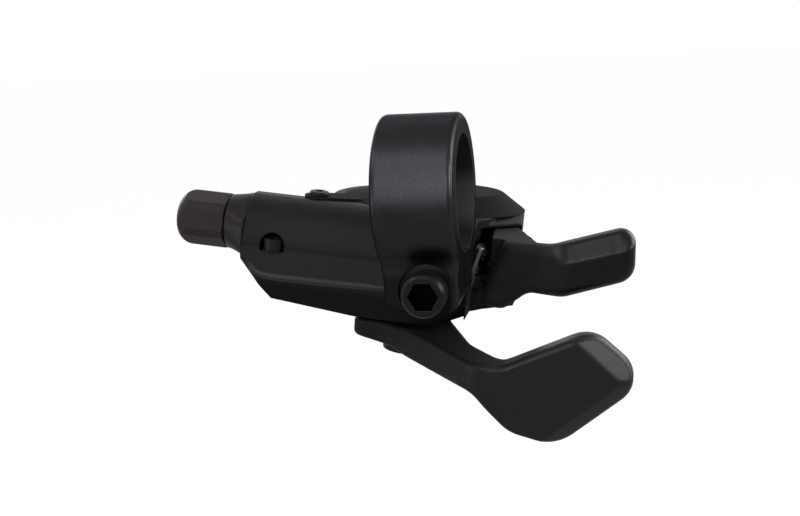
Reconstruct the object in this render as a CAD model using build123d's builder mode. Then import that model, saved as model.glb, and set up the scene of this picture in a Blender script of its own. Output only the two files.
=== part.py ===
"""Right-hand trigger gear shifter for a flat handlebar, in millimetres.

The origin is the centre of the handlebar clamp. +X runs along the bar towards the grip,
+Y points forward, away from the rider, and +Z is up. The mechanism sits forward of the bar
in a body that is tipped about Y, so its pivot axis leans: the body plane below carries that
lean, with u along the body, v forward and w up along the pivot axis. The levels are heights
on w, with zero on the top of the housing's deck.
"""
import os
from math import atan2, cos, hypot, pi, radians, sin

from build123d import *

os.makedirs("parts", exist_ok=True)

# Handlebar clamp
bar_d = 22.2
band_width = 15.3
band_wall = 3.9
band_edge = 1.2
clamp_slit = 1.8
lug_front = -10.0
lug_bottom = -21.3
lug_back = 9.0
lug_width = 14.1
lug_corner = 3.0
waist_top = -10.0
waist_low = -14.5
waist_round = 6.0
scoop_r = 4.0
spot_face_d = 10.6

# Clamp bolt and its nut
bolt_x = 1.15
bolt_z = -16.8
bolt_d = 5.0
bolt_head_d = 8.2
bolt_head_h = 5.0
bolt_hex = 5.0
bolt_hex_depth = 3.2
bolt_length = 27.2
bolt_clearance = 0.25
bolt_seat = -9.2
nut_af = 8.0
nut_h = 4.0
nut_clearance = 0.1

# Body frame
body_tilt = 8.0
pivot_x = -7.0
pivot_y = 30.0
deck_z = -6.8

# Housing
deck_t = 2.0
housing_h = 21.8
left_end_top = -33.4
left_end_level = -12.7
bow_run = 7.0
bow_rise = 1.7
belly_u = -9.0
heel_u = 8.8
heel_rise = 5.2
heel_depth = 5.2
sill_rise = 2.5
right_end = 22.2
near_top = -11.0
near_swell = 2.4
near_crease = -18.4
crease_level = -9.7
near_ridge = -19.7
ridge_level = -15.5
near_bottom = -18.0
far_r = 18.6
tail_v = -5.6
tail_round = 3.0
wall_end = 14.2
deck_near = -10.0
deck_corner = 6.8
deck_bevel = 1.4
coil_room = 12.6
release_far = 6.0
release_floor = -16.9
sill_near = -13.5
sill_top = -15.3
skirt_level = -4.6
spool_gap = 0.8
pawl_room_r = 16.2
drive_room_before = 18.0
drive_room_after = 36.0
hold_room_before = 22.0
hold_room_after = 44.0
ridge_round = 1.0

# Main axle, on the pivot
axle_d = 6.0
axle_head_d = 11.0
axle_head_h = 2.6
axle_hex = 4.0
axle_fit = 0.05
axle_nut_af = 8.0
axle_nut_h = 1.1
bush_wall = 0.9
washer_t = 0.6
side_play = 0.12

# Cable spool and its ratchet
teeth = 24
cable_r = 10.6
cable_d = 1.2
flange_r = 12.4
flange_t = 1.0
groove_h = 3.2
groove_level = -6.5
ratchet_r = 11.4
tooth_depth = 1.4
ratchet_h = 3.6
spring_well_r = 7.9
spool_hub_r = 4.9
nipple_d = 4.6
spring_strip = 0.3
spring_turns = 3

# Base plate
plate_t = 1.6
plate_fit = 0.25
plate_screw_d = 2.5
plate_screw_r = 14.7
plate_screw_angles = (105, 165, 318)
plate_screw_head = 4.4

# Pawls
pawl_pin_r = 14.0
pawl_pin_d = 2.4
pawl_eye_r = 1.85
pawl_reach = 5.4
pawl_gap = 0.35
pawl_fit = 0.05
drive_angle = 208.0
hold_angle = 35.0

# Thumb lever
thumb_travel = 48.0
lever_gap = 1.0
lever_t = 6.4
lever_edge = 1.0
hub_r = 5.2
hub_gap = 0.6
carrier_t = 1.8
paddle_drop = 17.0
paddle_rise = 10.0
thumb_plan = (
    ((-10.0, -14.5), 2.4),
    ((-1.2, -15.4), 7.0),
    ((19.0, -36.0), 9.0),
    ((54.0, -28.9), 0.6),
    ((55.2, -22.3), 0.6),
    ((23.5, -29.1), 5.0),
    ((16.6, -21.9), 12.0),
    ((10.2, -7.0), 6.0),
    ((6.6, 6.6), 6.0),
    ((-6.6, 6.6), 6.0),
)
thumb_front = (
    ((-18.0, 0.0), 0.5),
    ((-18.0, -2.7), 0.5),
    ((3.0, -5.9), 12.0),
    ((18.5, -6.0), 5.0),
    ((26.4, -13.2), 8.0),
    ((36.2, -15.6), 6.0),
    ((51.8, -1.4), 5.6),
    ((39.9, 7.9), 6.0),
    ((23.8, -0.3), 4.0),
)
thumb_face = ((19.0, -36.0), (54.0, -28.9))
thumb_bevels = (
    ((34.0, -13.1), (49.4, 1.1)),
    ((49.5, -4.3), (37.6, 5.3)),
)
thumb_bevel_turn = 36.0

# Release lever
release_u = 17.6
release_hub_r = 2.9
release_pin_d = 3.0
release_edge = 2.0
web_rise = 4.0
web_near = -16.5
web_right = 26.6
release_plan = (
    ((15.0, -19.9), 0.6),
    ((29.0, -18.8), 20.0),
    ((52.0, -16.0), 0.6),
    ((52.0, -10.9), 0.6),
    ((29.0, -13.7), 20.0),
    ((15.0, -14.9), 0.6),
)
release_front = (
    ((20.6, -2.4), 1.2),
    ((29.9, -2.4), 8.0),
    ((45.7, 3.2), 3.0),
    ((46.7, -7.6), 4.0),
    ((33.0, -12.7), 6.0),
    ((26.2, -12.3), 3.0),
    ((21.8, -16.2), 2.6),
    ((17.2, -16.3), 2.2),
    ((17.9, -9.4), 6.0),
)

# Springs
return_wire = 1.2
return_r = 6.6
return_turns = 2.5
small_wire = 0.5
small_turns = 3
leg_wire = 1.3
leg_bend_v = -13.0
leg_bend = -6.4
leg_u = 16.3
leg_v = -19.9
leg_top = -3.7
leg_foot_u = 14.8
leg_foot = -9.4
foot_w = 1.9
foot_h = 2.2
foot_t = 1.5

# Cable entry
neck_r = 5.7
neck_length = 4.4
neck_round = 3.0
neck_inset = 0.2
spigot_d = 10.0
spigot_length = 3.6
spigot_fit = 0.05
barrel_d = 11.6
barrel_flats = 10.8
barrel_turn = 22.0
barrel_length = 10.9
barrel_nose = 3.3
barrel_shoulder = 0.5
barrel_bore = 7.2
barrel_collar_d = 8.4
barrel_collar = 4.0
adjuster_fit = 0.08
wave_washer_t = 0.4
sleeve_d = 7.0
sleeve_flats = 6.2
ferrule_d = 5.1
ferrule_depth = 9.0
cable_bore = 2.0
sleeve_travel = 2.4
sleeve_inset = 0.6
ear_t = 2.2
ear_fit = 0.1

# Neck screw, in its scallop
neck_screw_inset = 6.6
neck_screw_v = -17.0
neck_screw_head = 4.1
neck_screw_h = 2.6
neck_screw_level = -10.3
neck_screw_d = 2.4
scallop_d = 5.8
scallop_h = 3.9
scallop_round = 2.8

# Top cover
cover_a = 19.6
cover_b = 15.0
cover_u = 2.7
cover_v = 2.2
cover_top_a = 12.6
cover_top_b = 9.0
cover_top_u = 4.6
cover_h = 2.8
cover_lean = 3.5
cover_round = 1.6
cover_wall = 0.9
cover_ear_t = 0.5
cover_ear_r = 3.0
cover_boss_h = 7.0
cover_screw_head = 4.3
cover_screw_h = 0.9
cover_screw_d = 2.2
cover_screw_spots = ((-20.2, -7.8), (3.0, 16.6))
cover_screw_length = 6.0

# Values that follow from those above
lean = radians(body_tilt)
along = (cos(lean), 0, -sin(lean))
upright = (sin(lean), 0, cos(lean))
body = Plane(origin=(pivot_x, pivot_y, deck_z), x_dir=along, z_dir=upright)
pivot_axis = Axis((pivot_x, pivot_y, deck_z), upright)
band_r = bar_d / 2 + band_wall
bow_u = left_end_top + bow_run
bolt_hole_r = bolt_d / 2 + bolt_clearance
deck_under = -deck_t
groove_top = groove_level + groove_h / 2
spool_top = groove_top + flange_t
ratchet_top = groove_level - groove_h / 2 - flange_t
spool_low = ratchet_top - ratchet_h
spool_room_r = flange_r + spool_gap
plate_top = spool_low - side_play * 4
plate_low = plate_top - plate_t
lever_top = -housing_h - lever_gap
lever_low = lever_top - lever_t
hub_top = plate_low - hub_gap
carrier_low = hub_top - carrier_t
cable_line = -(cable_r + cable_d / 2)
bush_r = axle_d / 2 + axle_fit + bush_wall
pawl_top = ratchet_top - 0.5
pawl_low = plate_top + 0.3
barrel_right = left_end_top - neck_length
nut_back = bolt_seat + bolt_length - 0.4
plate_screw_length = 5.0
pad_top = -((band_r**2 - lug_back**2) ** 0.5) - 0.3
pad_left = band_edge - band_width / 2
pad_right = bolt_x + bolt_hole_r + 0.6
pad_depth = pivot_y + near_crease + 3 - lug_back
neck_screw_u = left_end_top + neck_screw_inset
neck_screw_length = 8.0
ear_level = neck_screw_level - ear_t / 2
ear_w = 5.4
ear_v = neck_screw_v + 1.6
ear_reach = neck_screw_u + neck_screw_head / 2 + 1.4 - left_end_top
end_slope = (near_ridge - near_crease) / (ridge_level - crease_level)
end_near = near_crease + end_slope * (left_end_level - crease_level)


def at(u, v, w):
    """A point of the body frame, in the part's frame."""
    return body.from_local_coords((u, v, w))


def level(w):
    """The plane across the pivot axis at height w."""
    return body.offset(w)


def side(v, w=0):
    """The upright plane along the body at v, facing the rider: draws u, and height above w."""
    return Plane(origin=at(0, v, w), x_dir=along, z_dir=(0, -1, 0))


def cross(u):
    """The plane across the body at u, facing the grip: draws v and w."""
    return Plane(origin=at(u, 0, 0), x_dir=(0, 1, 0), z_dir=along)


def around(radius, angle):
    """u and v at a radius and an angle about the pivot axis."""
    return (radius * cos(radians(angle)), radius * sin(radians(angle)))


def rounded(plane, corners):
    """A flat outline on a plane, from its corners and the radius at each."""
    with BuildSketch(plane) as drawing:
        with BuildLine():
            Polyline([spot for spot, radius in corners], close=True)
        make_face()
        for spot, radius in corners:
            fillet(drawing.vertices().sort_by_distance(spot)[0], radius)
    return drawing.sketch


def bevel(face, start, end, base, turn):
    """The plane that turns away from a lever's near face, from the line that start and end draw on it."""
    (near_u, near_v), (far_u, far_v) = face
    (start_u, start_w), (end_u, end_w) = start, end
    slope = (far_v - near_v) / (far_u - near_u)
    square = hypot(1, slope)
    run = hypot(end_u - start_u, end_w - start_w)
    tip, swing = cos(radians(turn)), sin(radians(turn))
    normal = at(
        tip * slope / square + swing * (end_w - start_w) / run,
        -tip / square,
        swing * (start_u - end_u) / run,
    )
    return Plane(
        origin=at(start_u, near_v + slope * (start_u - near_u), base + start_w),
        z_dir=normal - at(0, 0, 0),
    )


# Clamp band: a split ring that sweeps into a lug below the bar, with a spot face for the bolt
with BuildPart() as clamp_band:
    with BuildSketch(Plane.YZ.offset(-band_width / 2)) as section:
        Circle(band_r)
        with BuildLine():
            Polyline((lug_front, 0), (lug_front, lug_bottom), (lug_back, lug_bottom), (lug_back, 0), close=True)
        make_face()
        throat = (lug_front, -((band_r**2 - lug_front**2) ** 0.5))
        fillet(section.vertices().sort_by_distance(throat)[0], scoop_r)
    extrude(amount=band_width)
    waist = (
        ((-band_width / 2, 2 * band_r), 1),
        ((-band_width / 2, waist_top), waist_round),
        ((-lug_width / 2, waist_low), waist_round),
        ((-lug_width / 2, lug_bottom), lug_corner),
        ((lug_width / 2, lug_bottom), lug_corner),
        ((lug_width / 2, waist_low), waist_round),
        ((band_width / 2, waist_top), waist_round),
        ((band_width / 2, 2 * band_r), 1),
    )
    extrude(rounded(Plane.XZ, waist), amount=2 * band_r, both=True, mode=Mode.INTERSECT)
    straight = clamp_band.edges().filter_by(Axis.X) + clamp_band.edges().filter_by(Axis.Y)
    fillet(clamp_band.edges() - straight, band_edge)
    with BuildSketch(Plane.YZ.offset(-band_width / 2)):
        Circle(bar_d / 2)
        with Locations((0, lug_bottom)):
            Rectangle(clamp_slit, -lug_bottom * 2, align=(Align.CENTER, Align.CENTER))
    extrude(amount=band_width, mode=Mode.SUBTRACT)
    with BuildSketch(Plane.XZ.offset(band_r)):
        with Locations((bolt_x, bolt_z)):
            Circle(bolt_hole_r)
    extrude(amount=-2 * band_r, mode=Mode.SUBTRACT)
    with BuildSketch(Plane.XZ.offset(-bolt_seat)):
        with Locations((bolt_x, bolt_z)):
            Circle(spot_face_d / 2)
    extrude(amount=band_r + bolt_seat, mode=Mode.SUBTRACT)
clamp_band.part.label = "clamp_band"
export_step(clamp_band.part, "parts/clamp_band.step")

# Clamp bolt: hex socket cap screw, driven from the rider's side
with BuildPart() as clamp_bolt:
    with BuildSketch(Plane.XZ.offset(-bolt_seat)):
        with Locations((bolt_x, bolt_z)):
            Circle(bolt_head_d / 2)
    extrude(amount=bolt_head_h)
    chamfer(clamp_bolt.edges().group_by(Axis.Y)[0], 0.5)
    with BuildSketch(Plane.XZ.offset(-bolt_seat)):
        with Locations((bolt_x, bolt_z)):
            Circle(bolt_d / 2)
    extrude(amount=-bolt_length)
    with BuildSketch(Plane.XZ.offset(-bolt_seat + bolt_head_h)):
        with Locations((bolt_x, bolt_z)):
            RegularPolygon(bolt_hex / 2, 6, major_radius=False)
    extrude(amount=-bolt_hex_depth, mode=Mode.SUBTRACT)
clamp_bolt.part.label = "clamp_bolt"
export_step(clamp_bolt.part, "parts/clamp_bolt.step")

# Clamp nut: held in a pocket of the housing's near wall
with BuildPart() as clamp_nut:
    with BuildSketch(Plane.XZ.offset(-nut_back)):
        with Locations((bolt_x, bolt_z)):
            RegularPolygon(nut_af / 2, 6, major_radius=False)
            Circle(bolt_d / 2 + 0.02, mode=Mode.SUBTRACT)
    extrude(amount=nut_h)
clamp_nut.part.label = "clamp_nut"
export_step(clamp_nut.part, "parts/clamp_nut.step")

# Housing: a drum and a cable tail, the meeting of a plan, a side view and a cross-section, hollowed out
with BuildPart() as housing:
    with BuildSketch(level(-housing_h)):
        with BuildLine():
            Polyline(
                (left_end_top, near_ridge - 1),
                (wall_end, near_ridge - 1),
                (wall_end, deck_near),
                (right_end - deck_corner, deck_near),
                (right_end, deck_near + deck_corner),
                (right_end, 3),
                (far_r * 0.6, far_r * 0.8),
                (0, tail_v),
                (left_end_top, tail_v),
                close=True,
            )
        make_face()
        Circle(far_r)
    extrude(amount=housing_h)
    with BuildSketch(side(0)):
        with BuildLine():
            Polyline(
                (left_end_top, 0),
                (left_end_top, left_end_level),
                (bow_u, -housing_h + bow_rise),
                (belly_u, -housing_h),
                (heel_u, -housing_h),
                (heel_u + heel_rise, -housing_h + sill_rise),
                (2 * right_end, -housing_h + sill_rise),
                (2 * right_end, 0),
                close=True,
            )
        make_face()
    extrude(amount=3 * far_r, both=True, mode=Mode.INTERSECT)
    with BuildSketch(cross(left_end_top * 2)):
        with BuildLine():
            swell = ((near_top + near_crease) / 2 - near_swell, crease_level / 2)
            ThreePointArc((near_top, 0), swell, (near_crease, crease_level))
            Polyline(
                (near_crease, crease_level),
                (near_ridge, ridge_level),
                (near_bottom, -housing_h),
                (3 * far_r, -housing_h),
                (3 * far_r, 0),
                (near_top, 0),
            )
        make_face()
    extrude(amount=-left_end_top * 4, mode=Mode.INTERSECT)
    ridge = housing.edges().filter_by(lambda e: abs(body.to_local_coords(e.center()).Y - near_ridge) < 0.4)
    fillet(ridge, ridge_round)
    shoulder = housing.edges().sort_by_distance(at(left_end_top + 1, tail_v, 0))[0]
    fillet(shoulder, tail_round)
    corner = housing.edges().sort_by_distance(at(right_end - deck_corner / 2, deck_near + deck_corner / 2, 0))[0]
    chamfer(corner, deck_bevel)
    # The near wall's heel, cut away over the thumb lever
    with BuildSketch(side(near_ridge - 1)):
        with BuildLine():
            Polyline(
                (heel_u, -housing_h),
                (heel_u + heel_rise, -housing_h + heel_rise),
                (heel_u + heel_rise, -housing_h),
                close=True,
            )
        make_face()
    extrude(amount=-heel_depth, mode=Mode.SUBTRACT)
    # Bosses below the cover's screws
    with BuildSketch(level(-cover_boss_h)):
        with Locations(*cover_screw_spots):
            Circle(cover_ear_r)
    extrude(amount=cover_boss_h)
    # Clamp pad behind the rear lug
    with BuildSketch(Plane.XZ.offset(-lug_back)):
        with Locations(((pad_left + pad_right) / 2, (lug_bottom + pad_top) / 2)):
            RectangleRounded(pad_right - pad_left, pad_top - lug_bottom, 1.5)
    extrude(amount=-pad_depth)
    # Spool room, pawl rooms and the room below the base plate
    with BuildSketch(level(plate_top)):
        Circle(spool_room_r)
    extrude(amount=deck_under - plate_top, mode=Mode.SUBTRACT)
    with BuildSketch(level(-housing_h)):
        Circle(pawl_room_r)
    extrude(amount=plate_top + housing_h, mode=Mode.SUBTRACT)
    pawl_rooms = (
        (drive_angle - drive_room_before, drive_room_before + thumb_travel + drive_room_after),
        (hold_angle - hold_room_before, hold_room_before + hold_room_after),
    )
    for start, swing in pawl_rooms:
        with BuildSketch(level(plate_top)):
            with BuildLine():
                room = CenterArc((0, 0), pawl_room_r, start, swing)
                Polyline(room @ 1, (0, 0), room @ 0)
            make_face()
        extrude(amount=ratchet_top - plate_top, mode=Mode.SUBTRACT)
    # Open quarter for the release lever, below the deck and above a sill, which is lower under its blade
    with BuildSketch(level(release_floor)):
        with Locations((wall_end, near_ridge - 2)):
            Rectangle(2 * right_end, sill_near + 2 - near_ridge, align=(Align.MIN, Align.MIN))
    extrude(amount=skirt_level - release_floor, mode=Mode.SUBTRACT)
    with BuildSketch(level(sill_top)):
        with Locations((wall_end, sill_near)):
            Rectangle(2 * right_end, release_far - sill_near, align=(Align.MIN, Align.MIN))
        with Locations((coil_room, deck_near)):
            Rectangle(2 * right_end, release_far - deck_near, align=(Align.MIN, Align.MIN))
    extrude(amount=skirt_level - sill_top, mode=Mode.SUBTRACT)
    with BuildSketch(level(skirt_level)):
        with Locations((release_u, 0)):
            Circle(release_hub_r + 1.6)
        with Locations((release_u - release_hub_r, near_ridge - 2)):
            Rectangle(2 * right_end, 2 - near_ridge, align=(Align.MIN, Align.MIN))
    extrude(amount=deck_under - skirt_level, mode=Mode.SUBTRACT)
    # Holes through the deck for the axle and pins, and threaded holes for the screws
    with BuildSketch(level(deck_under)):
        Circle(axle_d / 2 + axle_fit)
        with Locations((release_u, 0)):
            Circle(release_pin_d / 2)
    extrude(amount=deck_t, mode=Mode.SUBTRACT)
    with BuildSketch(level(0)):
        with Locations(*cover_screw_spots):
            Circle(cover_screw_d / 2)
    extrude(amount=-cover_screw_length, mode=Mode.SUBTRACT)
    with BuildSketch(level(plate_top)):
        with Locations(*[around(plate_screw_r, angle) for angle in plate_screw_angles]):
            Circle(plate_screw_d / 2)
    extrude(amount=plate_screw_length, mode=Mode.SUBTRACT)
    # Bolt hole, and the nut pocket open to the spool room
    with BuildSketch(Plane.XZ.offset(-lug_back)):
        with Locations((bolt_x, bolt_z)):
            Circle(bolt_hole_r)
    extrude(amount=-bolt_length, mode=Mode.SUBTRACT)
    with BuildSketch(Plane.XZ.offset(-nut_back + nut_h)):
        with Locations((bolt_x, bolt_z)):
            RegularPolygon(nut_af / 2 + nut_clearance, 6, major_radius=False)
    extrude(amount=-2 * nut_h, mode=Mode.SUBTRACT)
    # Neck socket, cable way, and the slot for the neck's ear
    with BuildSketch(cross(left_end_top - 1)):
        with Locations((cable_line, groove_level)):
            Circle(spigot_d / 2 + spigot_fit)
    extrude(amount=1 + spigot_length, mode=Mode.SUBTRACT)
    with BuildSketch(cross(left_end_top)):
        with Locations((cable_line, groove_level)):
            Circle(cable_bore / 2 + 0.3)
    extrude(amount=-left_end_top, mode=Mode.SUBTRACT)
    with BuildSketch(cross(left_end_top - 1)):
        with Locations((ear_v, ear_level)):
            Rectangle(ear_w + 2 * ear_fit, ear_t + 2 * ear_fit)
    extrude(amount=ear_reach + 1 + ear_fit, mode=Mode.SUBTRACT)
    # Scallop in the near panel, with the neck screw's hole in its floor
    with BuildSketch(side(neck_screw_v, neck_screw_level)) as bowl:
        with Locations((neck_screw_u, 0)):
            Rectangle(scallop_d / 2, scallop_h, align=(Align.MIN, Align.MIN))
        rim = (neck_screw_u + scallop_d / 2, scallop_h)
        fillet(bowl.vertices().sort_by_distance(rim)[0], scallop_round)
    revolve(axis=Axis(at(neck_screw_u, neck_screw_v, 0), upright), mode=Mode.SUBTRACT)
    with BuildSketch(level(neck_screw_level)):
        with Locations((neck_screw_u, neck_screw_v)):
            Circle(neck_screw_d / 2)
    extrude(amount=-neck_screw_length, mode=Mode.SUBTRACT)
housing.part.label = "housing"
export_step(housing.part, "parts/housing.step")

# Top cover: a low dome that rises towards the grip, hollow below, with two screw ears
cover_rise = radians(body_tilt - cover_lean)
cover_top = Plane(
    origin=at(cover_top_u, cover_v, cover_h),
    x_dir=(cos(cover_rise), 0, -sin(cover_rise)),
    z_dir=(sin(cover_rise), 0, cos(cover_rise)),
)
with BuildPart() as top_cover:
    with BuildSketch(level(0)):
        with Locations((cover_u, cover_v)):
            Ellipse(cover_a, cover_b)
    with BuildSketch(cover_top):
        Ellipse(cover_top_a, cover_top_b)
    loft()
    fillet(top_cover.faces().sort_by(pivot_axis)[-1].edges(), cover_round)
    for spot in cover_screw_spots:
        with BuildSketch(level(0)):
            middle = ((spot[0] + cover_u) / 2, (spot[1] + cover_v) / 2)
            SlotCenterPoint(middle, spot, 2 * cover_ear_r)
        extrude(amount=cover_ear_t)
    with BuildSketch(level(0)):
        with Locations((cover_u, cover_v)):
            Ellipse(cover_a - 2.2 * cover_wall, cover_b - 2.2 * cover_wall)
    with BuildSketch(cover_top.offset(-cover_wall)):
        Ellipse(cover_top_a - cover_wall, cover_top_b - cover_wall)
    loft(mode=Mode.SUBTRACT)
    with BuildSketch(level(cover_ear_t)):
        with Locations(*cover_screw_spots):
            Circle(cover_screw_head / 2 + 0.35)
    extrude(amount=cover_h, mode=Mode.SUBTRACT)
    with BuildSketch(level(-1)):
        with Locations(*cover_screw_spots):
            Circle(cover_screw_d / 2 + 0.1)
    extrude(amount=2 * cover_h, mode=Mode.SUBTRACT)
top_cover.part.label = "top_cover"
export_step(top_cover.part, "parts/top_cover.step")

# Cover screws: two pan heads on the cover's ears
with BuildPart() as cover_screws:
    with BuildSketch(level(cover_ear_t)):
        with Locations(*cover_screw_spots):
            Circle(cover_screw_head / 2)
    extrude(amount=cover_screw_h)
    fillet(cover_screws.faces().group_by(pivot_axis)[-1].edges(), 0.5)
    with BuildSketch(level(cover_ear_t)):
        with Locations(*cover_screw_spots):
            Circle(cover_screw_d / 2)
    extrude(amount=-cover_screw_length)
    with BuildSketch(level(cover_ear_t + cover_screw_h)):
        with Locations(*cover_screw_spots):
            RegularPolygon(1.0, 6)
    extrude(amount=-1.0, mode=Mode.SUBTRACT)
cover_screws.part.label = "cover_screws"
export_step(cover_screws.part, "parts/cover_screws.step")

# Cable neck: flares from the barrel to the housing's end, with a spigot and a screw ear inside
with BuildPart() as cable_neck:
    with BuildSketch(cross(left_end_top)) as end_face:
        with BuildLine():
            Polyline(
                (near_top - 0.6, -neck_inset),
                (end_near + 0.8, crease_level / 2),
                (end_near + 0.4, left_end_level + neck_inset),
                (tail_v - neck_inset, left_end_level + neck_inset),
                (tail_v - neck_inset, -neck_inset),
                close=True,
            )
        make_face()
        fillet(end_face.vertices(), neck_round)
    with BuildSketch(cross(barrel_right)):
        with Locations((cable_line, groove_level)):
            Circle(neck_r)
    loft()
    with BuildSketch(cross(left_end_top)):
        with Locations((cable_line, groove_level)):
            Circle(spigot_d / 2)
    extrude(amount=spigot_length - 0.2)
    with BuildSketch(cross(left_end_top)):
        with Locations((ear_v, ear_level)):
            Rectangle(ear_w, ear_t)
    extrude(amount=ear_reach)
    with BuildSketch(level(neck_screw_level)):
        with Locations((neck_screw_u, neck_screw_v)):
            Circle(neck_screw_d / 2 + 0.1)
    extrude(amount=-neck_screw_length, mode=Mode.SUBTRACT)
    with BuildSketch(cross(barrel_right)):
        with Locations((cable_line, groove_level)):
            Circle(barrel_collar_d / 2 + adjuster_fit)
    extrude(amount=barrel_collar + 0.3, mode=Mode.SUBTRACT)
    with BuildSketch(cross(barrel_right)):
        with Locations((cable_line, groove_level)):
            Circle(sleeve_d / 2 + adjuster_fit)
            Rectangle(sleeve_flats + 2 * adjuster_fit, 2 * sleeve_d, mode=Mode.INTERSECT)
    extrude(amount=2 * (neck_length + spigot_length), mode=Mode.SUBTRACT)
cable_neck.part.label = "cable_neck"
export_step(cable_neck.part, "parts/cable_neck.step")

# Neck screw: upright in the scallop, through the neck's ear
with BuildPart() as neck_screw:
    with BuildSketch(level(neck_screw_level)):
        with Locations((neck_screw_u, neck_screw_v)):
            Circle(neck_screw_head / 2)
    extrude(amount=neck_screw_h)
    with BuildSketch(level(neck_screw_level)):
        with Locations((neck_screw_u, neck_screw_v)):
            Circle(neck_screw_d / 2)
    extrude(amount=-neck_screw_length)
    with BuildSketch(level(neck_screw_level + neck_screw_h)):
        with Locations((neck_screw_u, neck_screw_v)):
            RegularPolygon(1.1, 6)
    extrude(amount=-1.2, mode=Mode.SUBTRACT)
neck_screw.part.label = "neck_screw"
export_step(neck_screw.part, "parts/neck_screw.step")

barrel_left = barrel_right - wave_washer_t - barrel_length

# Barrel adjuster: a domed knob with six flats, turning on its collar in the neck
with BuildPart() as barrel_adjuster:
    with BuildSketch(side(cable_line, groove_level)) as knob:
        with Locations((barrel_left, 0)):
            Rectangle(barrel_length, barrel_d / 2, align=(Align.MIN, Align.MIN))
        fillet(knob.vertices().sort_by_distance((barrel_left, barrel_d / 2))[0], barrel_nose)
        fillet(knob.vertices().sort_by_distance((barrel_left + barrel_length, barrel_d / 2))[0], barrel_shoulder)
    revolve(axis=Axis(at(0, cable_line, groove_level), along))
    with BuildSketch(cross(barrel_left)):
        with Locations((cable_line, groove_level)):
            RegularPolygon(barrel_flats / 2, 6, major_radius=False, rotation=barrel_turn)
    extrude(amount=barrel_length, mode=Mode.INTERSECT)
    with BuildSketch(cross(barrel_left + barrel_length)):
        with Locations((cable_line, groove_level)):
            Circle(barrel_collar_d / 2)
    extrude(amount=wave_washer_t + barrel_collar)
    with BuildSketch(cross(barrel_left)):
        with Locations((cable_line, groove_level)):
            Circle(barrel_bore / 2)
    extrude(amount=2 * barrel_length, mode=Mode.SUBTRACT)
barrel_adjuster.part.label = "barrel_adjuster"
export_step(barrel_adjuster.part, "parts/barrel_adjuster.step")

# Adjuster sleeve: does not turn, slides in the neck, and takes the cable housing's ferrule
sleeve_left = barrel_left + sleeve_inset
sleeve_right = left_end_top + spigot_length - 0.4
with BuildPart() as adjuster_sleeve:
    with BuildSketch(cross(sleeve_left)):
        with Locations((cable_line, groove_level)):
            Circle(sleeve_d / 2)
            Rectangle(sleeve_flats, 2 * sleeve_d, mode=Mode.INTERSECT)
    extrude(amount=sleeve_right - sleeve_left)
    with BuildSketch(cross(sleeve_left)):
        with Locations((cable_line, groove_level)):
            Circle(ferrule_d / 2)
    extrude(amount=ferrule_depth, mode=Mode.SUBTRACT)
    with BuildSketch(cross(sleeve_left)):
        with Locations((cable_line, groove_level)):
            Circle(cable_bore / 2)
    extrude(amount=sleeve_right - sleeve_left, mode=Mode.SUBTRACT)
adjuster_sleeve.part.label = "adjuster_sleeve"
export_step(adjuster_sleeve.part, "parts/adjuster_sleeve.step")

# Adjuster click washer, between the barrel and the neck
with BuildPart() as click_washer:
    with BuildSketch(cross(barrel_right - wave_washer_t + 0.05)):
        with Locations((cable_line, groove_level)):
            Circle(neck_r - 1.1)
            Circle(barrel_collar_d / 2 + adjuster_fit, mode=Mode.SUBTRACT)
    extrude(amount=wave_washer_t - 0.05)
click_washer.part.label = "click_washer"
export_step(click_washer.part, "parts/click_washer.step")

# Main axle: a shouldered bolt up through the lever, the plate, the spool and the deck
head_top = lever_low - side_play - washer_t
with BuildPart() as main_axle:
    with BuildSketch(level(head_top)):
        Circle(axle_head_d / 2)
    extrude(amount=-axle_head_h)
    with BuildSketch(level(head_top)):
        Circle(axle_d / 2)
    extrude(amount=axle_nut_h - head_top)
    with BuildSketch(level(head_top - axle_head_h)):
        RegularPolygon(axle_hex / 2, 6, major_radius=False)
    extrude(amount=axle_head_h - 0.6, mode=Mode.SUBTRACT)
main_axle.part.label = "main_axle"
export_step(main_axle.part, "parts/main_axle.step")

with BuildPart() as axle_nut:
    with BuildSketch(level(0)):
        RegularPolygon(axle_nut_af / 2, 6, major_radius=False)
        Circle(axle_d / 2 + 0.02, mode=Mode.SUBTRACT)
    extrude(amount=axle_nut_h)
axle_nut.part.label = "axle_nut"
export_step(axle_nut.part, "parts/axle_nut.step")

with BuildPart() as axle_washer:
    with BuildSketch(level(head_top)):
        Circle(axle_head_d / 2 + 1)
        Circle(axle_d / 2 + axle_fit, mode=Mode.SUBTRACT)
    extrude(amount=washer_t)
axle_washer.part.label = "axle_washer"
export_step(axle_washer.part, "parts/axle_washer.step")

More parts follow.
